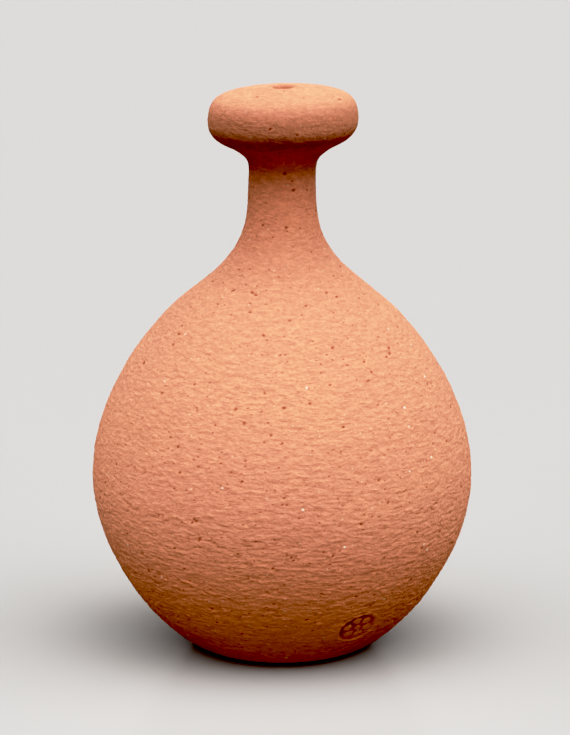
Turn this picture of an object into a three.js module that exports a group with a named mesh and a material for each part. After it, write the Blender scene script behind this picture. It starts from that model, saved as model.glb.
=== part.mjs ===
// A thrown terracotta bud vase. A nearly round belly stands on a small flat base, and
// its shoulder sweeps up into a slender neck under a thick domed collar, which has a
// mouth just wide enough for one stem.
//
// The pot is thrown in five sections that are luted together with slip, each one keyed
// to the next by a low ridge that sits in a groove, and a thin liner glaze coats the
// inside so that it holds water. Millimetres, +Z up, origin at the centre of the base.

import * as THREE from 'three';

const FACETS = 48; // flats round the axis

// The outside, from the ground up. A slope is in degrees from the ground.
const FOOT_RADIUS = 22.8;
const FOOT_SLOPE = 22;
const BELLY_RADIUS = 52.8;
const BELLY_HEIGHT = 48.5;
const SHOULDER_RADIUS = 29.9; // where the shoulder turns from bulging to hollow
const SHOULDER_HEIGHT = 96.6;
const SHOULDER_SLOPE = 42.8;
const NECK_RADIUS = 9.4;
const NECK_HEIGHT = 127.5;
const UNDERCUT_RADIUS = 14.7; // where the neck's flare meets the underside of the collar
const UNDERCUT_HEIGHT = 141.5;
const UNDERCUT_SLOPE = 31;
const COLLAR_RADIUS = 20.7;
const COLLAR_HEIGHT = 148.5;
const LIP_RADIUS = 4.2;
const LIP_HEIGHT = 157.7;
const LIP_SLOPE = 10;

// The inside.
const WALL = 4.6;
const FLOOR_THICKNESS = 6.5;
const FLOOR_RADIUS = 16;
const FLOOR_SLOPE = 12;
const BORE_RADIUS = 5;
const BORE_HEIGHT = 124; // where the shoulder's inside becomes the neck's bore
const THROAT_RADIUS = 3;
const THROAT_LENGTH = 12;
const LIP_ROUNDING = 1.5;

// Where the sections are luted together, and the ridge that keys each joint.
const BASE_SEAM = FLOOR_THICKNESS;
const BELLY_SEAM = BELLY_HEIGHT;
const NECK_SEAM = 104;
const COLLAR_SEAM = UNDERCUT_HEIGHT;
const RIDGE_HEIGHT = 1.2;

// The liner glaze, which stops partway up the bore.
const GLAZE_THICKNESS = 0.5;
const GLAZE_TOP = 120;
const GLAZE_CLEARANCE = 0.05;

const radians = THREE.MathUtils.degToRad;

// A profile point: distance from the axis and height above the ground.
const at = (radius, height) => new THREE.Vector2(radius, height);

// One smooth stretch of a profile. It leaves its start and meets its end at the given
// directions, in degrees from outward, and each pull is a share of the chord's length.
function stretch(start, startDirection, startPull, end, endDirection, endPull) {
  const chord = start.distanceTo(end);
  const step = (direction, pull) =>
    at(Math.cos(radians(direction)), Math.sin(radians(direction))).multiplyScalar(pull * chord);
  const leave = start.clone().add(step(startDirection, startPull));
  const arrive = end.clone().sub(step(endDirection, endPull));
  return new THREE.CubicBezierCurve(start, leave, arrive, end);
}

// The points of consecutive curves, from the bottom up, with each shared end once.
function trace(curves, divisions) {
  const points = [curves[0].getPoint(0)];
  curves.forEach((curve, i) => points.push(...curve.getPoints(divisions[i]).slice(1)));
  return points;
}

// The same profile with a point of its own at each of the given heights.
function withHeights(points, heights) {
  const result = [...points];
  for (const height of heights) {
    const above = result.findIndex((point) => point.y >= height - 1e-6);
    if (Math.abs(result[above].y - height) < 1e-6) {
      result[above].y = height;
      continue;
    }
    const [low, high] = [result[above - 1], result[above]];
    const share = (height - low.y) / (high.y - low.y);
    result.splice(above, 0, at(THREE.MathUtils.lerp(low.x, high.x, share), height));
  }
  return result;
}

const between = (points, low, high) => points.filter((point) => point.y >= low && point.y <= high);

function outsideProfile() {
  const foot = at(FOOT_RADIUS, 0);
  const belly = at(BELLY_RADIUS, BELLY_HEIGHT);
  const shoulder = at(SHOULDER_RADIUS, SHOULDER_HEIGHT);
  const neck = at(NECK_RADIUS, NECK_HEIGHT);
  const undercut = at(UNDERCUT_RADIUS, UNDERCUT_HEIGHT);
  const collar = at(COLLAR_RADIUS, COLLAR_HEIGHT);
  const lip = at(LIP_RADIUS, LIP_HEIGHT);
  const inwards = 180;
  const curves = [
    stretch(foot, FOOT_SLOPE, 0.25, belly, 90, 0.355),
    stretch(belly, 90, 0.4, shoulder, inwards - SHOULDER_SLOPE, 0.224),
    stretch(shoulder, inwards - SHOULDER_SLOPE, 0.35, neck, 90, 0.466),
    stretch(neck, 90, 0.63, undercut, UNDERCUT_SLOPE, 0.54),
    stretch(undercut, UNDERCUT_SLOPE, 0.2, collar, 90, 0.52),
    stretch(collar, 90, 0.467, lip, inwards - LIP_SLOPE, 0.59),
  ];
  return withHeights(trace(curves, [9, 7, 6, 4, 3, 6]), [BASE_SEAM, NECK_SEAM]);
}

function insideProfile() {
  const slope = radians(SHOULDER_SLOPE);
  const floor = at(FLOOR_RADIUS, FLOOR_THICKNESS);
  const belly = at(BELLY_RADIUS - WALL, BELLY_HEIGHT);
  const shoulder = at(SHOULDER_RADIUS - WALL * Math.sin(slope), SHOULDER_HEIGHT - WALL * Math.cos(slope));
  const bore = at(BORE_RADIUS, BORE_HEIGHT);
  const boreTop = at(BORE_RADIUS, COLLAR_SEAM);
  const throat = at(THROAT_RADIUS, LIP_HEIGHT - THROAT_LENGTH);
  const throatTop = at(THROAT_RADIUS, LIP_HEIGHT - LIP_ROUNDING);
  const lip = at(LIP_RADIUS, LIP_HEIGHT);
  const inwards = 180;
  const curves = [
    stretch(floor, FLOOR_SLOPE, 0.3, belly, 90, 0.37),
    stretch(belly, 90, 0.4, shoulder, inwards - SHOULDER_SLOPE, 0.224),
    stretch(shoulder, inwards - SHOULDER_SLOPE, 0.35, bore, 90, 0.466),
    new THREE.LineCurve(bore, boreTop),
    new THREE.LineCurve(boreTop, throat),
    new THREE.LineCurve(throat, throatTop),
    stretch(throatTop, 90, 0.5, lip, LIP_SLOPE, 0.5),
  ];
  return withHeights(trace(curves, [7, 6, 5, 1, 1, 1, 2]), [NECK_SEAM, GLAZE_TOP]);
}

const outside = outsideProfile();
const inside = insideProfile();

// The top of the ridge halfway through the wall at a seam.
function ridge(seam) {
  const outer = outside.find((point) => point.y === seam);
  const inner = inside.find((point) => point.y === seam);
  return at((outer.x + inner.x) / 2, seam + RIDGE_HEIGHT);
}

// The profile of one luted ring: up the outside, over the ridge, down the inside, and
// back across the groove. The collar's top is its lip, where the two sides already meet.
function ringProfile(low, high) {
  const outer = between(outside, low, high);
  const inner = between(inside, low, high).reverse();
  const top = high === LIP_HEIGHT ? [] : [ridge(high)];
  if (high === LIP_HEIGHT) inner.shift();
  return [...outer, ...top, ...inner, ridge(low), outer[0].clone()];
}

function baseProfile() {
  const outer = between(outside, 0, BASE_SEAM);
  return [at(0, 0), ...outer, ridge(BASE_SEAM), at(FLOOR_RADIUS, BASE_SEAM), at(0, BASE_SEAM)];
}

// The glaze follows the inside of the wall, and covers the floor from wall to wall.
function linerProfile() {
  const wall = between(inside, BASE_SEAM, GLAZE_TOP);
  const offset = (point, i, distance) => {
    const before = wall[Math.max(i - 1, 0)];
    const after = wall[Math.min(i + 1, wall.length - 1)];
    const along = after.clone().sub(before).normalize();
    return at(point.x - along.y * distance, point.y + along.x * distance);
  };
  const skin = (distance) => wall.map((point, i) => offset(point, i, distance));
  const back = skin(GLAZE_CLEARANCE);
  const face = skin(GLAZE_CLEARANCE + GLAZE_THICKNESS).reverse();
  const backFloor = BASE_SEAM + GLAZE_CLEARANCE;
  back[0].y = backFloor;
  face[face.length - 1].y = backFloor + GLAZE_THICKNESS;
  return [at(0, backFloor), ...back, ...face, at(0, backFloor + GLAZE_THICKNESS)];
}

const terracotta = (colour) =>
  new THREE.MeshStandardMaterial({ color: colour, roughness: 0.92, metalness: 0 });

function turned(name, profile, material) {
  const mesh = new THREE.Mesh(new THREE.LatheGeometry(profile, FACETS), material);
  mesh.name = name;
  mesh.rotation.x = Math.PI / 2;
  return mesh;
}

const group = new THREE.Group();
group.add(
  turned('base_disc', baseProfile(), terracotta(0x9c4f25)),
  turned('lower_bowl', ringProfile(BASE_SEAM, BELLY_SEAM), terracotta(0xc4713f)),
  turned('shoulder_dome', ringProfile(BELLY_SEAM, NECK_SEAM), terracotta(0xd38a5c)),
  turned('neck_funnel', ringProfile(NECK_SEAM, COLLAR_SEAM), terracotta(0xcd8156)),
  turned('collar_ring', ringProfile(COLLAR_SEAM, LIP_HEIGHT), terracotta(0xdd9a6c)),
  turned(
    'liner_glaze',
    linerProfile(),
    new THREE.MeshStandardMaterial({ color: 0xb98a62, roughness: 0.15, metalness: 0 }),
  ),
);

export default group;
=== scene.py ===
"""A thrown terracotta bud vase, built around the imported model.

Each section of the pot is one closed clay ring that replaces its CAD node. The rings share
one relief, so the throwing lines run on across the joints without a break.
Lengths are in metres, +Z is up, and the front faces -Y.
"""

import itertools
import math

import bpy
import numpy as np
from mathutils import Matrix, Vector


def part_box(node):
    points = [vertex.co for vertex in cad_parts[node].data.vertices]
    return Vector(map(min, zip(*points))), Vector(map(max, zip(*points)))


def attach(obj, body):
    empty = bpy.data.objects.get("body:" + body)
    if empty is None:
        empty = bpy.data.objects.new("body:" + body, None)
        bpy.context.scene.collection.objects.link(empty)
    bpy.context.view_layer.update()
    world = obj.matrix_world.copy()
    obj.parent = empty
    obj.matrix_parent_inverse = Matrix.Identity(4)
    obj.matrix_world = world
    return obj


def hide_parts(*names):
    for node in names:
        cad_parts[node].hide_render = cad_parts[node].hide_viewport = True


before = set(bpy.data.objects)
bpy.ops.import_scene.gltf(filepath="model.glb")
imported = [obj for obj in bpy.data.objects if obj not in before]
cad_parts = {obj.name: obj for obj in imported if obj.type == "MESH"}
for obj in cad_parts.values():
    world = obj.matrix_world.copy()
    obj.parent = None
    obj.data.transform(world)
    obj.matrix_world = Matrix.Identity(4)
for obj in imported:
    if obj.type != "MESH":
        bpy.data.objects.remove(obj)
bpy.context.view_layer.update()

MM = 0.001

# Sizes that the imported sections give.
BASE_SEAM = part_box("lower_bowl")[0].z
BELLY_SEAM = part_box("shoulder_dome")[0].z
NECK_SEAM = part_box("neck_funnel")[0].z
COLLAR_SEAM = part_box("collar_ring")[0].z
BELLY_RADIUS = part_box("lower_bowl")[1].x
COLLAR_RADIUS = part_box("collar_ring")[1].x
LIP_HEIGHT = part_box("collar_ring")[1].z
RIDGE_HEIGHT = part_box("base_disc")[1].z - BASE_SEAM

# Sizes that lie between those, as the CAD has them. A slope is in degrees from the ground.
FOOT_RADIUS = 22.8 * MM
FOOT_SLOPE = 22
FLOOR_RADIUS = 16 * MM
FLOOR_SLOPE = 12
SHOULDER_RADIUS = 29.9 * MM
SHOULDER_HEIGHT = 96.6 * MM
SHOULDER_SLOPE = 42.8
NECK_RADIUS = 9.4 * MM
NECK_HEIGHT = 127.5 * MM
UNDERCUT_RADIUS = 14.7 * MM
UNDERCUT_SLOPE = 31
COLLAR_HEIGHT = 148.5 * MM
LIP_RADIUS = 4.2 * MM
LIP_SLOPE = 10
WALL = 4.6 * MM
BORE_RADIUS = 5 * MM
BORE_HEIGHT = 124 * MM
THROAT_RADIUS = 3 * MM
THROAT_LENGTH = 12 * MM
LIP_ROUNDING = 1.5 * MM
GLAZE_TOP = 120 * MM
GLAZE_CLEARANCE = 0.05 * MM
GLAZE_THICKNESS = 0.5 * MM

# The underside, which is dished a little inside its standing ring.
DISH_RADIUS = 15 * MM
DISH_DEPTH = 0.6 * MM
RING_RADIUS = 19 * MM
RING_EDGE = 22 * MM
EDGE_HEIGHT = 0.4 * MM

# How finely each section is meshed.
COLUMNS = 512
BOWL_ROWS = 170
DOME_ROWS = 176
NECK_ROWS = 120
COLLAR_ROWS = 110
THROAT_ROWS = 24
SIDE_ROWS = 42
UNDER_ROWS = 46
HIDDEN_ROWS = 10
LINER_ROWS = 90
CENTRE_RADIUS = 0.2 * MM  # of the small disc that closes a surface on the axis

# How the skin is cut up for its baked textures.
CLAY_STRIPS = 2
HIDDEN_SHARE = 0.12
MAP_MARGIN = 0.01
MAP_CORNER = 0.002

SEED = 7

columns = np.arange(COLUMNS) * (2 * math.pi / COLUMNS)


# ---------------------------------------------------------------- profile curves


def stretch(start, start_slope, start_pull, end, end_slope, end_pull, samples=400):
    """One smooth stretch of a profile, as rows of radius and height.

    Slopes are in degrees from outward, and each pull is a share of the chord's length.
    """
    start, end = np.array(start), np.array(end)
    chord = np.hypot(*(end - start))
    a, b = math.radians(start_slope), math.radians(end_slope)
    leave = start + start_pull * chord * np.array([math.cos(a), math.sin(a)])
    arrive = end - end_pull * chord * np.array([math.cos(b), math.sin(b)])
    t = np.linspace(0, 1, samples)[:, None]
    s = 1 - t
    return s**3 * start + 3 * s * s * t * leave + 3 * s * t * t * arrive + t**3 * end


def join(*stretches):
    """Stretches that meet end to end, as one run of rows with each shared end once."""
    return np.vstack([stretches[0]] + [part[1:] for part in stretches[1:]])


def length_along(profile):
    """How far each row is from the first one, along the profile."""
    steps = np.hypot(*np.diff(profile, axis=0).T)
    return np.concatenate([[0], np.cumsum(steps)])


def evenly(profile, rows):
    """The same curve with that many equal steps along it."""
    along = length_along(profile)
    wanted = np.linspace(0, along[-1], rows + 1)
    return np.column_stack([np.interp(wanted, along, profile[:, k]) for k in (0, 1)])


def outward(profile):
    """The unit direction out of each point of a rising profile."""
    slope = np.gradient(profile, axis=0)
    slope /= np.hypot(slope[:, 0], slope[:, 1])[:, None]
    return np.column_stack([slope[:, 1], -slope[:, 0]])


def between(profile, low, high):
    """The part of a rising profile from one height to another, with its ends exactly there."""
    radius_low, radius_high = np.interp([low, high], profile[:, 1], profile[:, 0])
    inner = profile[(profile[:, 1] > low + 1e-9) & (profile[:, 1] < high - 1e-9)]
    return np.vstack([[radius_low, low], inner, [radius_high, high]])


def outside_profile():
    """The outside of the pot from the edge of the foot up to its lip."""
    foot = (FOOT_RADIUS, 0)
    belly = (BELLY_RADIUS, BELLY_SEAM)
    shoulder = (SHOULDER_RADIUS, SHOULDER_HEIGHT)
    neck = (NECK_RADIUS, NECK_HEIGHT)
    undercut = (UNDERCUT_RADIUS, COLLAR_SEAM)
    collar = (COLLAR_RADIUS, COLLAR_HEIGHT)
    lip = (LIP_RADIUS, LIP_HEIGHT)
    return join(
        stretch(foot, FOOT_SLOPE, 0.25, belly, 90, 0.355),
        stretch(belly, 90, 0.4, shoulder, 180 - SHOULDER_SLOPE, 0.224),
        stretch(shoulder, 180 - SHOULDER_SLOPE, 0.35, neck, 90, 0.466),
        stretch(neck, 90, 0.63, undercut, UNDERCUT_SLOPE, 0.54),
        stretch(undercut, UNDERCUT_SLOPE, 0.2, collar, 90, 0.52),
        stretch(collar, 90, 0.467, lip, 180 - LIP_SLOPE, 0.59),
    )


def inside_profile():
    """The inside of the wall from the floor up to the top of the neck's bore."""
    slope = math.radians(SHOULDER_SLOPE)
    floor = (FLOOR_RADIUS, BASE_SEAM)
    belly = (BELLY_RADIUS - WALL, BELLY_SEAM)
    shoulder = (
        SHOULDER_RADIUS - WALL * math.sin(slope),
        SHOULDER_HEIGHT - WALL * math.cos(slope),
    )
    bore = (BORE_RADIUS, BORE_HEIGHT)
    return join(
        stretch(floor, FLOOR_SLOPE, 0.3, belly, 90, 0.37),
        stretch(belly, 90, 0.4, shoulder, 180 - SHOULDER_SLOPE, 0.224),
        stretch(shoulder, 180 - SHOULDER_SLOPE, 0.35, bore, 90, 0.466),
        np.array([bore, (BORE_RADIUS, COLLAR_SEAM)]),
    )


def underside_profile():
    """The underside from just off its centre out to where the wall leaves the ground."""
    centre = (CENTRE_RADIUS, DISH_DEPTH)
    dish = (DISH_RADIUS, 0.8 * DISH_DEPTH)
    ring = (RING_RADIUS, 0)
    turn = (RING_EDGE, 0)
    edge = (np.interp(EDGE_HEIGHT, outside[:, 1], outside[:, 0]), EDGE_HEIGHT)
    return join(
        stretch(centre, 0, 0.4, dish, -3, 0.3),
        stretch(dish, -3, 0.4, ring, 0, 0.4),
        np.array([ring, turn]),
        stretch(turn, 0, 0.4, edge, FOOT_SLOPE + 3, 0.3),
    )


def throat_profile():
    """From the lip down through the mouth and throat to the collar's seam."""
    lip = (LIP_RADIUS, LIP_HEIGHT)
    rounded = (THROAT_RADIUS, LIP_HEIGHT - LIP_ROUNDING)
    narrow = (THROAT_RADIUS, LIP_HEIGHT - THROAT_LENGTH)
    return join(
        stretch(lip, 180 - LIP_SLOPE, 0.5, rounded, 270, 0.5),
        np.array([rounded, narrow, (BORE_RADIUS, COLLAR_SEAM)]),
    )


# ---------------------------------------------------------------- clay relief


def noise(x, y, z, seed):
    """Smooth gradient noise from about -1 to 1, one blob to a unit of length."""
    point = np.stack(np.broadcast_arrays(x, y, z), -1)
    cell = np.floor(point).astype(np.int64)
    inside = point - cell
    fade = inside**3 * (inside * (inside * 6 - 15) + 10)
    total = np.zeros(point.shape[:-1])
    for corner in itertools.product((0, 1), repeat=3):
        # A hash of the corner's place picks its slopes.
        at = (cell + corner).astype(np.uint64)
        mix = at[..., 0] * np.uint64(73856093) ^ at[..., 1] * np.uint64(19349663)
        mix = (mix ^ at[..., 2] * np.uint64(83492791)) + np.uint64(seed * 2654435761)
        mix = (mix ^ (mix >> np.uint64(13))) * np.uint64(1274126177)
        mix = mix ^ (mix >> np.uint64(16))
        slopes = [((mix >> np.uint64(8 * k)) & np.uint64(255)) / 127.5 - 1 for k in range(3)]
        offset = inside - corner
        value = sum(slopes[k] * offset[..., k] for k in range(3))
        weight = np.ones_like(value)
        for k in range(3):
            weight = weight * (fade[..., k] if corner[k] else 1 - fade[..., k])
        total += weight * value
    return total * 1.5


def turn_from(angle):
    """The turn from that angle to each column, the short way round."""
    return (columns - angle + math.pi) % (2 * math.pi) - math.pi


def smoothstep(low, high, value):
    """0 at low and 1 at high, with a smooth rise between them."""
    t = np.clip((value - low) / (high - low), 0, 1)
    return t * t * (3 - 2 * t)


class Skin:
    """The pot's skin as a grid: columns round it, and rows from under it up and down the throat."""

    def __init__(self, profile):
        self.profile = profile
        self.along = length_along(profile)[:, None] - length_along(underside)[-1]
        self.normal = outward(profile)
        self.x = profile[:, :1] * np.cos(columns)
        self.y = profile[:, :1] * np.sin(columns)
        self.z = np.broadcast_to(profile[:, 1:], self.x.shape)
        # How much painted shade darkens each point: in the dents, the throwing grooves and the seal's
        # hollows.
        self.pits = np.zeros_like(self.x)

    def wander(self, across, up, seed, lean=0.0):
        """Noise with blobs that long round the pot and that tall up it."""
        height = self.along + lean * self.x
        return noise(self.x / across, self.y / across, height / up, SEED + seed)


# The marks of the making: the throwing lines' length, spacing and lean, how deep each kind of
# mark is, how much painted shade darkens a line's groove, and how many pits there are.
LINE_LENGTH = 4.4 * MM
LINE_SPACING = 1.9 * MM
LINE_LEAN = 0.1
LINE_DEPTH = 0.14 * MM
DRAG_DEPTH = 0.18 * MM
SWELL_DEPTH = 0.16 * MM
GROOVE_SHADE = 0.62
PIT_COUNT = 520


def line_strength(skin):
    """The lines are deepest on the lower belly, and were smoothed off higher up."""
    heights = [0, 8 * MM, 16 * MM, 45 * MM, 70 * MM, 100 * MM, 135 * MM, LIP_HEIGHT]
    strengths = [0.3, 0.6, 1.0, 1.0, 0.85, 0.6, 0.4, 0.2]
    return np.interp(skin.z, heights, strengths)


def throwing_lines(skin):
    """Broken, wavering grooves that run round the pot, a little over a millimetre apart."""
    crossing = skin.wander(LINE_LENGTH, LINE_SPACING, 1, LINE_LEAN)
    crossing += 0.35 * skin.wander(0.4 * LINE_LENGTH, 0.5 * LINE_SPACING, 2, LINE_LEAN)
    groove = np.clip(1 - 4 * np.abs(crossing), 0, 1) ** 1.5
    patches = skin.wander(9 * MM, 2.5 * MM, 3, LINE_LEAN)
    groove *= smoothstep(-0.5, 0.4, patches)
    # Painted shade in the grooves.
    skin.pits = np.maximum(skin.pits, GROOVE_SHADE * groove * line_strength(skin))
    return -LINE_DEPTH * groove


def drag_marks(skin):
    """Short scaly ridges, left where the rib dragged the grog."""
    fine = skin.wander(2.4 * MM, 0.85 * MM, 4, LINE_LEAN)
    broad = skin.wander(4.2 * MM, 1.4 * MM, 5, LINE_LEAN)
    return DRAG_DEPTH * (fine + 0.65 * broad)


def swell(skin):
    """The slow swell that the fingers left in the wall."""
    return SWELL_DEPTH * skin.wander(45 * MM, 9 * MM, 6)


def press_pits(skin):
    """Small pits where grog was torn out or air had been, most of them wider than tall."""
    draw = np.random.default_rng(SEED)
    relief = np.zeros_like(skin.x)
    first = np.searchsorted(skin.along[:, 0], 2 * MM)
    areas = skin.profile[first:, 0] * np.gradient(skin.along[first:, 0])
    rows = first + draw.choice(len(areas), PIT_COUNT, p=areas / areas.sum())
    for row in rows:
        column = draw.integers(COLUMNS)
        wide = draw.uniform(0.3, 0.75) * MM
        tall = wide * draw.uniform(0.45, 0.9)
        depth = draw.uniform(0.25, 0.5) * tall
        tilt = draw.uniform(-0.4, 0.4)
        near = np.abs(skin.along[:, 0] - skin.along[row, 0]) < 3 * wide
        window = np.flatnonzero(near)
        across = turn_from(columns[column]) * skin.profile[window, :1]
        up = skin.along[window] - skin.along[row] - tilt * across
        dent = np.exp(-((across / wide) ** 2) - (up / tall) ** 2)
        relief[window] -= depth * dent
        # Painted shade in each dent.
        skin.pits[window] = np.maximum(skin.pits[window], dent)
    return relief


def drag_scratches(skin):
    """A few long thin scratches, most of them low on the front."""
    relief = np.zeros_like(skin.x)
    scratches = [  # degrees right of the front, height, length, climb, depth
        (27, 31 * MM, 17 * MM, 0.10, 0.16 * MM),
        (13, 29 * MM, 9 * MM, -0.04, 0.14 * MM),
        (42, 26 * MM, 12 * MM, 0.16, 0.12 * MM),
        (-6, 21 * MM, 14 * MM, 0.02, 0.12 * MM),
        (-24, 24 * MM, 10 * MM, -0.12, 0.10 * MM),
        (152, 36 * MM, 15 * MM, 0.06, 0.14 * MM),
        (-118, 52 * MM, 12 * MM, -0.05, 0.12 * MM),
    ]
    for turn, height, length, climb, depth in scratches:
        across, up = surface_offsets(skin, turn, height)
        bend = 0.25 * MM * np.sin(across / (3.5 * MM))
        fade = smoothstep(0.5 * length, 0.3 * length, np.abs(across))
        relief -= depth * fade * np.exp(-(((up - climb * across - bend) / (0.22 * MM)) ** 2))
    return relief


def surface_offsets(skin, turn, height):
    """How far each grid point lies round and up the skin from a spot on the outside.

    The spot's turn is in degrees right of the front.
    """
    angle = math.radians(turn - 90)
    under = skin.along[:, 0] < 0
    row = np.argmin(np.abs(skin.profile[:, 1] - height) + under)
    return turn_from(angle) * skin.profile[:, :1], skin.along - skin.along[row]


# The seal: a small round stamp of six petals round a dot. SEAL_TURN is in degrees right of the
# front.
SEAL_TURN = 33
SEAL_HEIGHT = 12.6 * MM
SEAL_RADIUS = 5.8 * MM
SEAL_DEPTH = 0.6 * MM
SEAL_EDGE = 0.5 * MM
PETAL_CENTRE = 3.2 * MM
PETAL_LENGTH = 2.4 * MM
DOT_RADIUS = 1.1 * MM
BURR_WIDTH = 0.35 * MM
BURR_HEIGHT = 0.12 * MM


def press_seal(skin):
    """A generic six-petal rosette, pressed a little unevenly into the wall by the foot."""
    across, up = surface_offsets(skin, SEAL_TURN, SEAL_HEIGHT)
    reach = np.hypot(across, up)
    bearing = np.arctan2(up, across)
    sunk = smoothstep(SEAL_RADIUS, SEAL_RADIUS - SEAL_EDGE, reach)
    petal = np.abs(np.cos(3 * bearing + 0.4)) ** 0.8
    outline = smoothstep(0.25, 0.6, petal - np.abs(reach - PETAL_CENTRE) / PETAL_LENGTH)
    dot = smoothstep(DOT_RADIUS, DOT_RADIUS - SEAL_EDGE, reach)
    raised = np.maximum(outline, dot)
    burr = np.exp(-(((reach - SEAL_RADIUS - BURR_WIDTH) / BURR_WIDTH) ** 2))
    uneven = 0.75 - 0.45 * (across - up) / (2 * SEAL_RADIUS)
    near = reach < 2 * SEAL_RADIUS
    relief = uneven * (SEAL_DEPTH * sunk * (0.7 * raised - 1) + BURR_HEIGHT * burr)
    # Painted shade in the seal's sunk ground between the petals.
    skin.pits = np.maximum(skin.pits, np.where(near, 0.8 * uneven * sunk * (1 - raised), 0))
    return np.where(near, relief, 0), np.where(near, sunk, 0)


# The wire's marks curve round a point beside the foot.
WIRE_CENTRE = (34 * MM, -6 * MM)
WIRE_SPACING = 2.3 * MM
WIRE_DEPTH = 0.14 * MM


def wire_marks(skin):
    """Shell-shaped ridges on the underside, where the twisted wire cut the pot from the wheel."""
    reach = np.hypot(skin.x - WIRE_CENTRE[0], skin.y - WIRE_CENTRE[1])
    waver = 0.6 * skin.wander(12 * MM, 12 * MM, 7)
    ridges = np.abs(np.sin(math.pi * reach / WIRE_SPACING + waver))
    dished = smoothstep(RING_RADIUS, DISH_RADIUS, skin.profile[:, :1]) * (skin.along < 0)
    return -WIRE_DEPTH * ridges * dished


def shaped(skin):
    """The grid's points with all their relief, and a normal for each of them."""
    standing = smoothstep(0, 1.5 * MM, skin.along)
    seal_relief, seal = press_seal(skin)
    lines = (throwing_lines(skin) + drag_marks(skin)) * line_strength(skin) * (1 - 0.8 * seal)
    relief = (lines + swell(skin) + press_pits(skin) + drag_scratches(skin)) * standing
    relief += seal_relief + wire_marks(skin)
    radial = skin.profile[:, :1] + relief * skin.normal[:, :1]
    points = np.stack(
        [
            radial * np.cos(columns),
            radial * np.sin(columns),
            skin.z + relief * skin.normal[:, 1:],
        ],
        -1,
    )
    points = leaned(points)
    round_step = np.roll(points, -1, 1) - np.roll(points, 1, 1)
    up_step = np.gradient(points, axis=0)
    normals = np.cross(round_step, up_step)
    normals /= np.linalg.norm(normals, axis=-1, keepdims=True)
    return points, normals


COLLAR_TILT = math.radians(1.2)
COLLAR_SHIFT = 0.3 * MM


def leaned(points):
    """The collar was closed in by hand, so it sits a little askew on the neck."""
    share = smoothstep(NECK_HEIGHT, COLLAR_SEAM + 4 * MM, points[..., 2])
    moved = points.copy()
    moved[..., 0] += COLLAR_SHIFT * share
    moved[..., 2] += math.tan(COLLAR_TILT) * points[..., 0] * share
    return moved


# ---------------------------------------------------------------- meshes


def plain_rows(profile):
    """Grid rows of a smooth turned surface."""
    profile = np.asarray(profile)
    radius, height = profile[:, :1], profile[:, 1:]
    rows = [radius * np.cos(columns), radius * np.sin(columns), height * np.ones(COLUMNS)]
    return np.stack(rows, -1)


def grid_faces(rows, closed):
    """Quads between neighbouring rows and columns, and back to the first row if closed."""
    row = np.arange(rows if closed else rows - 1)
    column = np.arange(COLUMNS)
    low, high = row * COLUMNS, (row + 1) % rows * COLUMNS
    nearer, further = column, (column + 1) % COLUMNS
    corners = [
        low[:, None] + nearer,
        low[:, None] + further,
        high[:, None] + further,
        high[:, None] + nearer,
    ]
    return np.stack(corners, -1).reshape(-1, 4)


def bake_map(rows_up, strips):
    """Texture coordinates for each quad: the skin unrolled and cut into stacked strips."""
    rows = len(rows_up) - 1
    row = np.repeat(np.arange(rows), COLUMNS)
    column = np.tile(np.arange(COLUMNS), rows)
    per_strip = COLUMNS // strips
    strip = column // per_strip
    left = (column - strip * per_strip) / per_strip
    right = left + 1 / per_strip
    low, high = rows_up[row], rows_up[row + 1]

    def place(u, v):
        u = MAP_MARGIN + (1 - 2 * MAP_MARGIN) * u
        v = (strip + MAP_MARGIN + (1 - 2 * MAP_MARGIN) * v) / strips
        return np.stack([u, v], -1)

    corners = [place(left, low), place(right, low), place(right, high), place(left, high)]
    return np.stack(corners, 1).reshape(-1, 2)


def map_heights(rows, shown, poles):
    """How far up the map each row lies. Hidden rows after shown ones take up little of it."""
    ends = rows if poles else np.vstack([rows, rows[:1]])
    steps = np.linalg.norm(np.diff(ends, axis=0), axis=-1).mean(1)
    if shown:
        steps[shown:] *= HIDDEN_SHARE * steps[:shown].sum() / steps[shown:].sum()
    return np.concatenate([[0], np.cumsum(steps)]) / steps.sum()


def pole_faces(rows):
    """Triangles that close the first and the last row round their centre points."""
    around = np.arange(COLUMNS)
    after = (around + 1) % COLUMNS
    last = (rows - 1) * COLUMNS
    bottom = np.full(COLUMNS, rows * COLUMNS)
    top = bottom + 1
    lower = np.stack([bottom, after, around], -1)
    upper = np.stack([top, last + around, last + after], -1)
    return [*lower.tolist(), *upper.tolist()]


def turned_piece(name, rows, normals, strips, poles, dark=None):
    """One closed piece from its rows. Rows without normals of their own are hidden ones."""
    shown = len(normals)
    points = rows.reshape(-1, 3)
    polygons = grid_faces(len(rows), closed=not poles).tolist()
    coordinates = bake_map(map_heights(rows, shown, poles), strips)
    if poles:
        points = np.vstack([points, rows[0].mean(0), rows[-1].mean(0)])
        polygons += pole_faces(len(rows))
        coordinates = np.vstack([coordinates, np.full((6 * COLUMNS, 2), MAP_CORNER)])
    mesh = bpy.data.meshes.new(name)
    mesh.from_pydata(points.tolist(), [], polygons)
    mesh.polygons.foreach_set("use_smooth", np.ones(len(polygons), bool))
    layer = mesh.uv_layers.new(name="OFBake")
    layer.uv.foreach_set("vector", coordinates.astype(np.float32).ravel())
    # The painted shade of the dents, grooves and seal, which the clay's shader reads.
    if dark is not None:
        values = np.zeros(len(points), np.float32)
        values[: dark.size] = dark.ravel()
        mesh.attributes.new("painted_recess_shade", "FLOAT", "POINT").data.foreach_set("value", values)
    mesh.update()
    own = np.array([vertex.normal for vertex in mesh.vertices])
    own[: shown * COLUMNS] = np.reshape(normals, (-1, 3))
    mesh.normals_split_custom_set_from_vertices(own.tolist())
    piece = bpy.data.objects.new(name, mesh)
    bpy.context.scene.collection.objects.link(piece)
    return piece


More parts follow.
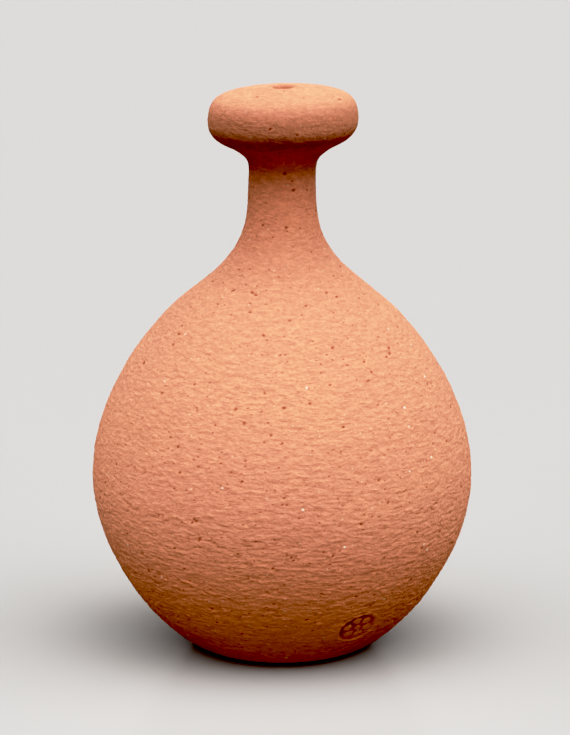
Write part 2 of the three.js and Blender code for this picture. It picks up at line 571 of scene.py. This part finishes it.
def clay_piece(name, part, hidden, poles=False):
    """A clay section: its part of the skin, from its first row to its last, and its hidden rows."""
    start, stop = part
    own = slice(start, stop + 1)
    rows = np.concatenate([skin_points[own], plain_rows(hidden)])
    return turned_piece(name, rows, skin_normals[own], CLAY_STRIPS, poles, skin.pits[own])


def ridge_point(seam):
    """The crest of the ridge that keys two sections together, halfway through the wall."""
    outer = np.interp(seam, outside[:, 1], outside[:, 0])
    inner = np.interp(seam, inside[:, 1], inside[:, 0])
    return [(outer + inner) / 2, seam + RIDGE_HEIGHT]


def make_ring(name, node, part, low, high):
    """A clay section between two seams: its skin, the ridge on top, its inside and its groove."""
    wall = evenly(between(inside, low, high), HIDDEN_ROWS)[::-1]
    hidden = np.vstack([[ridge_point(high)], wall, [ridge_point(low)]])
    piece = clay_piece(name, part, hidden)
    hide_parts(node)
    return piece


def make_collar(part):
    """The collar: its skin runs over the lip and down the throat, then back across the groove."""
    piece = clay_piece("clay_collar", part, [ridge_point(COLLAR_SEAM)])
    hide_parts("collar_ring")
    return piece


def make_base(part):
    """The base: underside, side and the floor that the wall and the glaze sit on."""
    floor = [ridge_point(BASE_SEAM), (FLOOR_RADIUS, BASE_SEAM), (CENTRE_RADIUS, BASE_SEAM)]
    piece = clay_piece("clay_base", part, floor, poles=True)
    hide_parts("base_disc")
    return piece


def make_liner():
    """The glaze inside, a thin closed skin over the floor and up the wall into the bore."""
    wall = evenly(between(inside, BASE_SEAM, GLAZE_TOP), LINER_ROWS)
    inwards = -outward(wall)
    back = wall + GLAZE_CLEARANCE * inwards
    face = wall + (GLAZE_CLEARANCE + GLAZE_THICKNESS) * inwards
    back[0, 1] = BASE_SEAM + GLAZE_CLEARANCE
    floor_back = [(CENTRE_RADIUS, back[0, 1])]
    floor_face = [(CENTRE_RADIUS, back[0, 1] + GLAZE_THICKNESS)]
    rows = plain_rows(np.vstack([floor_back, back, face[::-1], floor_face]))
    piece = turned_piece("liner_skin", rows, normals=[], strips=1, poles=True)
    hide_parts("liner_glaze")
    return piece


# ---------------------------------------------------------------- materials


def feed(tree, socket, value):
    """Link an input to another node's output, or set it to a value."""
    if isinstance(value, bpy.types.NodeSocket):
        tree.links.new(value, socket)
    else:
        socket.default_value = value


class Shader:
    """A material's node tree, built one node at a time."""

    def __init__(self, name):
        self.material = bpy.data.materials.new(name)
        self.material.use_nodes = True
        self.tree = self.material.node_tree
        self.surface = self.tree.nodes["Principled BSDF"]
        self.place = self.add("ShaderNodeTexCoord").outputs["Object"]

    def add(self, kind, inputs=(), **settings):
        """A node with its settings, and its inputs set to values or linked to sockets."""
        node = self.tree.nodes.new(kind)
        for name, value in settings.items():
            setattr(node, name, value)
        for key, value in dict(inputs).items():
            feed(self.tree, node.inputs[key], value)
        return node

    def give(self, name, value):
        """Set or link one of the surface's own inputs."""
        feed(self.tree, self.surface.inputs[name], value)

    def stretched(self, across, up):
        """Coordinates in which a unit is that long across and that tall."""
        scale = (1 / across, 1 / across, 1 / up)
        return self.add("ShaderNodeMapping", {"Vector": self.place, "Scale": scale}).outputs[0]

    def cloud(self, across, up, detail=2.0, roughness=0.5):
        """Noise with blobs of that size."""
        where = self.stretched(across, up)
        inputs = {"Vector": where, "Scale": 1.0, "Detail": detail, "Roughness": roughness}
        return self.add("ShaderNodeTexNoise", inputs).outputs["Fac"]

    def ramp(self, value, low, high, start=0.0, end=1.0):
        """value brought smoothly from low..high to start..end."""
        inputs = {
            "Value": value,
            "From Min": low,
            "From Max": high,
            "To Min": start,
            "To Max": end,
        }
        return self.add("ShaderNodeMapRange", inputs, interpolation_type="SMOOTHSTEP").outputs[0]

    def maths(self, operation, first, second=0.0):
        return self.add("ShaderNodeMath", {0: first, 1: second}, operation=operation).outputs[0]

    def vectors(self, operation, *values):
        node = self.add("ShaderNodeVectorMath", enumerate(values), operation=operation)
        return node.outputs[0]

    def blend(self, share, first, second):
        """Two colours mixed by share."""
        node = self.add("ShaderNodeMix", {0: share, 6: first, 7: second}, data_type="RGBA")
        return node.outputs[2]

    def dotted(self, under, dots, strength, paint):
        """A colour with dots of another over it, which cover it by that strength."""
        return self.blend(self.maths("MULTIPLY", dots, strength), under, paint)

    def specks(self, spacing, radius, flatness, share):
        """Scattered ragged dots: 1 inside a dot and 0 outside it. Some cells have none."""
        ragged = {"Vector": self.stretched(SPECK_RAGGEDNESS, SPECK_RAGGEDNESS), "Scale": 1.0}
        jitter = self.add("ShaderNodeTexNoise", ragged).outputs["Color"]
        nudge = self.vectors("SUBTRACT", jitter, (0.5,) * 3)
        edge = radius / spacing
        where = self.stretched(spacing, spacing / flatness)
        moved = self.vectors("MULTIPLY_ADD", nudge, (0.9 * edge,) * 3, where)
        cells = self.add("ShaderNodeTexVoronoi", {"Vector": moved, "Scale": 1.0})
        dots = self.ramp(cells.outputs["Distance"], edge, 0.6 * edge)
        draw = self.add("ShaderNodeSeparateColor", {"Color": cells.outputs["Color"]}).outputs[0]
        chosen = self.maths("LESS_THAN", draw, share)
        return self.maths("MULTIPLY", dots, chosen)


def colour(red, green, blue):
    return (red, green, blue, 1.0)


# Specks in the clay: how far apart they lie, their radius, how flat they are, and the share of
# places that have one.
IRON = (3.0 * MM, 0.46 * MM, 1.4, 0.8)
DUST = (1.7 * MM, 0.26 * MM, 1.3, 0.6)
GRIT = (2.3 * MM, 0.30 * MM, 1.2, 0.45)
GROG = (5.5 * MM, 0.50 * MM, 1.2, 0.42)
SPECK_RAGGEDNESS = 0.7 * MM


def mottled(shader, foot, streaks, grain):
    """The clay's orange: slow drifts, painted shade that browns it towards the foot, and fine streaks
    and grain that are partly painted shade in the bump's troughs.
    """
    drift = shader.ramp(shader.cloud(38 * MM, 30 * MM), 0.35, 0.65)
    body = shader.blend(drift, colour(0.735, 0.333, 0.214), colour(0.728, 0.325, 0.214))
    # Painted shade: the clay turns a browner orange towards the foot.
    body = shader.blend(foot, body, colour(0.70, 0.266, 0.135))
    # The same streaks and grain raise the bump, so the clay is lighter on its ridges and darker in
    # its troughs: random tone, partly painted shade.
    streak_tone = shader.ramp(streaks, 0.3, 0.7, 0.91, 1.06)
    grain_tone = shader.ramp(grain, 0.3, 0.7, 0.92, 1.06)
    tone = shader.maths("MULTIPLY", streak_tone, grain_tone)
    return shader.add("ShaderNodeVectorMath", {0: body, "Scale": tone}, operation="SCALE").outputs[0]


def speckled(shader, body, iron, dust, height, foot):
    """That colour with dark iron and dust, pale grit, white grog on the belly that turns darker
    towards the foot as painted shade, and painted shade in the dents, grooves and the seal's hollows.
    """
    body = shader.dotted(body, iron, 0.48, colour(0.27, 0.075, 0.04))
    body = shader.dotted(body, dust, 0.42, colour(0.34, 0.10, 0.05))
    body = shader.dotted(body, shader.specks(*GRIT), 0.55, colour(0.95, 0.66, 0.48))
    bared = shader.ramp(height, 78 * MM, 102 * MM, 0.8, 0.15)
    # Painted shade: the grog turns darker and more orange towards the foot.
    grog = shader.blend(foot, colour(0.95, 0.80, 0.66), colour(0.92, 0.58, 0.34))
    body = shader.dotted(body, shader.specks(*GROG), bared, grog)
    # Painted shade in the dents, grooves and the seal's hollows darkens the clay to a deep red-brown.
    painted_recess_shade = shader.add("ShaderNodeAttribute", attribute_name="painted_recess_shade").outputs["Fac"]
    return shader.blend(shader.ramp(painted_recess_shade, 0.25, 0.85, 0.0, 0.75), body, colour(0.24, 0.06, 0.03))


def terracotta():
    """Matt unglazed clay: warm orange, mottled, with grog, iron specks and torn-out pits, and painted
    shade towards the foot and in the dents, grooves and the seal's hollows.
    """
    shader = Shader("terracotta")
    height = shader.add("ShaderNodeSeparateXYZ", {"Vector": shader.place}).outputs["Z"]
    # Painted shade, 1 at the foot and 0 from 46 mm up, that browns the clay and its grog towards the
    # bottom.
    foot = shader.ramp(height, 46 * MM, 6 * MM)
    smoothed = shader.ramp(height, 120 * MM, 146 * MM, 1.0, 0.45)
    streaks = shader.cloud(2.7 * MM, 0.9 * MM, 2.0, 0.55)
    grain = shader.cloud(0.9 * MM, 0.65 * MM)
    iron = shader.maths("MULTIPLY", shader.specks(*IRON), smoothed)
    dust = shader.maths("MULTIPLY", shader.specks(*DUST), smoothed)
    body = mottled(shader, foot, streaks, grain)
    shader.give("Base Color", speckled(shader, body, iron, dust, height, foot))
    shader.give("Roughness", shader.ramp(grain, 0.3, 0.7, 0.97, 0.84))
    shader.give("Diffuse Roughness", 0.5)
    shader.give("Specular IOR Level", 0.12)
    relief = shader.maths("ADD", streaks, shader.maths("MULTIPLY", grain, 0.9))
    dents = shader.maths("MULTIPLY", shader.maths("MAXIMUM", iron, dust), 0.3)
    relief = shader.maths("SUBTRACT", relief, dents)
    bumps = {"Strength": smoothed, "Distance": 0.32 * MM, "Height": relief}
    shader.give("Normal", shader.add("ShaderNodeBump", bumps).outputs[0])
    return shader.material


def glaze():
    """Glossy amber liner over the clay, in drifts of a darker brown."""
    shader = Shader("liner_glaze")
    drift = shader.ramp(shader.cloud(9 * MM, 14 * MM, 3.0), 0.35, 0.7)
    shader.give("Base Color", shader.blend(drift, colour(0.46, 0.22, 0.10), colour(0.33, 0.14, 0.06)))
    shader.give("Roughness", 0.14)
    ripples = {"Strength": 0.3, "Distance": 0.1 * MM, "Height": shader.cloud(4 * MM, 3 * MM)}
    shader.give("Normal", shader.add("ShaderNodeBump", ripples).outputs[0])
    return shader.material


def floor_paint():
    """A plain pale studio floor."""
    shader = Shader("studio_floor")
    shader.give("Base Color", colour(0.44, 0.43, 0.42))
    shader.give("Roughness", 0.9)
    return shader.material


# ---------------------------------------------------------------- studio

CAMERA_DISTANCE = 1.3
CAMERA_ELEVATION = math.radians(13)
AIM = Vector((0.8 * MM, 0, 78.7 * MM))
PIXELS_PER_METRE = 3600
IMAGE_WIDTH = 570
SENSOR_WIDTH = 36


def make_camera():
    """A long lens a little above the vase, looking along +Y."""
    camera = bpy.data.cameras.new("camera")
    camera.sensor_fit = "HORIZONTAL"
    camera.sensor_width = SENSOR_WIDTH
    camera.lens = PIXELS_PER_METRE * CAMERA_DISTANCE / IMAGE_WIDTH * SENSOR_WIDTH
    camera.clip_end = 50
    holder = bpy.data.objects.new("camera", camera)
    back = Vector((0, -math.cos(CAMERA_ELEVATION), math.sin(CAMERA_ELEVATION)))
    holder.location = AIM + CAMERA_DISTANCE * back
    holder.rotation_euler = (math.pi / 2 - CAMERA_ELEVATION, 0, 0)
    bpy.context.scene.collection.objects.link(holder)
    bpy.context.scene.camera = holder


# The studio sweep: a round floor whose far edge curves up into a backdrop. The small hole in
# its middle lies under the vase.
FLOOR_HOLE = 0.01
FLOOR_FLAT = 2.2
SWEEP_RADIUS = 1.2
BACKDROP_TOP = 1.5


def make_floor():
    """A pale sweep that the camera sees, but that throws no light back up under the vase."""
    turns = np.radians(np.arange(0, 91, 6))
    reaches = FLOOR_FLAT + SWEEP_RADIUS * np.sin(turns)
    heights = SWEEP_RADIUS * (1 - np.cos(turns))
    sweep = np.column_stack([reaches, heights])
    profile = [(FLOOR_HOLE, 0), *sweep, (FLOOR_FLAT + SWEEP_RADIUS, BACKDROP_TOP)]
    rows = plain_rows(profile)
    faces = grid_faces(len(rows), closed=False)
    mesh = bpy.data.meshes.new("studio_floor")
    mesh.from_pydata(rows.reshape(-1, 3).tolist(), [], faces.tolist())
    mesh.polygons.foreach_set("use_smooth", np.ones(len(mesh.polygons), bool))
    floor = bpy.data.objects.new("studio_floor", mesh)
    mesh.materials.append(floor_paint())
    floor.visible_diffuse = False
    floor.visible_glossy = False
    bpy.context.scene.collection.objects.link(floor)


# The soft light overhead. A direction's height in the sky counts for more at the sides and
# for less behind. The light fades in from SKY_BELOW to SKY_LEVEL between the heights SKY_START
# and SKY_FULL, and leans to the right and to the front.
SKY_START = 0.63
SKY_FULL = 0.86
SKY_SIDES = 0.26
SKY_BEHIND = -0.45
SKY_LEVEL = 3.35
SKY_LEAN = 0.32
SKY_FORWARD = -0.3
SKY_BELOW = 0.045


def make_sky():
    """Soft light from high in front and from both sides, stronger on the right."""
    world = bpy.data.worlds.new("studio_sky")
    bpy.context.scene.world = world
    world.use_nodes = True
    tree = world.node_tree

    def maths(operation, *values):
        node = tree.nodes.new("ShaderNodeMath")
        node.operation = operation
        for socket, value in zip(node.inputs, values):
            feed(tree, socket, value)
        return node.outputs[0]

    place = tree.nodes.new("ShaderNodeTexCoord")
    split = tree.nodes.new("ShaderNodeSeparateXYZ")
    tree.links.new(place.outputs["Generated"], split.inputs[0])
    side, depth, up = split.outputs
    height = maths("MULTIPLY_ADD", maths("ABSOLUTE", side), SKY_SIDES, up)
    height = maths("MULTIPLY_ADD", maths("MAXIMUM", depth, 0.0), SKY_BEHIND, height)
    rise = tree.nodes.new("ShaderNodeMapRange")
    rise.interpolation_type = "SMOOTHSTEP"
    rise.inputs["From Min"].default_value = SKY_START
    rise.inputs["From Max"].default_value = SKY_FULL
    rise.inputs["To Min"].default_value = SKY_BELOW
    rise.inputs["To Max"].default_value = SKY_LEVEL
    tree.links.new(height, rise.inputs["Value"])
    lean = maths("MULTIPLY_ADD", side, SKY_LEAN, maths("MULTIPLY_ADD", depth, SKY_FORWARD, 1.0))
    level = maths("MULTIPLY", rise.outputs[0], lean)
    tree.links.new(level, tree.nodes["Background"].inputs["Strength"])
    tree.nodes["Background"].inputs["Color"].default_value = (1, 1, 1, 1)


# The fill: soft-edged spots aimed at the belly from in front and behind, and a slim one aimed
# at the front of the neck. Each has its turn in degrees from the front, the height it is aimed
# at, its cone in degrees, how much of the cone is its soft edge, and its power.
FILL_DISTANCE = 0.8
FILL_HEIGHT = 0.10
FILL_SIZE = 0.15  # a lamp's radius for each radian of its cone
FILLS = {
    "fill_left": (-35, 56 * MM, 11.6, 1.0, 9.7),
    "fill_right": (35, 56 * MM, 11.6, 1.0, 9.1),
    "fill_back": (180, 70 * MM, 16.0, 1.0, 15.0),
    "fill_neck": (0, 128 * MM, 2.0, 0.6, 3.2),
}


def make_lamps():
    """Low spots that fill in the belly and the neck and leave the collar's underside in shade."""
    for name, (turn, height, cone, soft_edge, power) in FILLS.items():
        lamp = bpy.data.lights.new(name, "SPOT")
        lamp.energy = power
        lamp.spot_size = math.radians(cone)
        lamp.spot_blend = soft_edge
        lamp.shadow_soft_size = FILL_SIZE * lamp.spot_size
        holder = bpy.data.objects.new(name, lamp)
        turned = math.radians(turn)
        holder.location = (
            FILL_DISTANCE * math.sin(turned),
            -FILL_DISTANCE * math.cos(turned),
            FILL_HEIGHT,
        )
        aim = Vector((0, 0, height)) - holder.location
        holder.rotation_euler = aim.to_track_quat("-Z", "Y").to_euler()
        bpy.context.scene.collection.objects.link(holder)


# The print: the light that prints as black and as white, and points of the curve between them.
TONE_BLACK = 0.065
TONE_WHITE = 1.6
TONE_CURVE = ((0.17, 0.27), (0.425, 0.69), (0.744, 0.945))


def set_tone():
    """A print that deepens the shadows and holds the highlights."""
    view = bpy.context.scene.view_settings
    view.view_transform = "Standard"
    view.look = "None"
    view.use_curve_mapping = True
    mapping = view.curve_mapping
    mapping.black_level = (TONE_BLACK,) * 3
    mapping.white_level = (TONE_WHITE,) * 3
    curve = mapping.curves[3]
    for place, value in TONE_CURVE:
        curve.points.new(place, value)
    mapping.update()


# ---------------------------------------------------------------- the vase

make_camera()
make_floor()
make_sky()
make_lamps()
set_tone()

outside = outside_profile()
inside = inside_profile()
underside = underside_profile()

# The skin's sections in order, and the row at which each of them starts.
sections = [
    evenly(underside, UNDER_ROWS),
    evenly(between(outside, EDGE_HEIGHT, BASE_SEAM), SIDE_ROWS),
    evenly(between(outside, BASE_SEAM, BELLY_SEAM), BOWL_ROWS),
    evenly(between(outside, BELLY_SEAM, NECK_SEAM), DOME_ROWS),
    evenly(between(outside, NECK_SEAM, COLLAR_SEAM), NECK_ROWS),
    evenly(between(outside, COLLAR_SEAM, LIP_HEIGHT), COLLAR_ROWS),
    evenly(throat_profile(), THROAT_ROWS),
]
starts = np.cumsum([0] + [len(section) - 1 for section in sections])
skin = Skin(join(*sections))
skin_points, skin_normals = shaped(skin)

clay = terracotta()
pieces = [
    make_base((starts[0], starts[2])),
    make_ring("clay_bowl", "lower_bowl", (starts[2], starts[3]), BASE_SEAM, BELLY_SEAM),
    make_ring("clay_shoulder", "shoulder_dome", (starts[3], starts[4]), BELLY_SEAM, NECK_SEAM),
    make_ring("clay_neck", "neck_funnel", (starts[4], starts[5]), NECK_SEAM, COLLAR_SEAM),
    make_collar((starts[5], starts[7])),
]
for piece in pieces:
    piece.data.materials.append(clay)
liner = make_liner()
liner.data.materials.append(glaze())
for piece in [*pieces, liner]:
    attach(piece, "root")
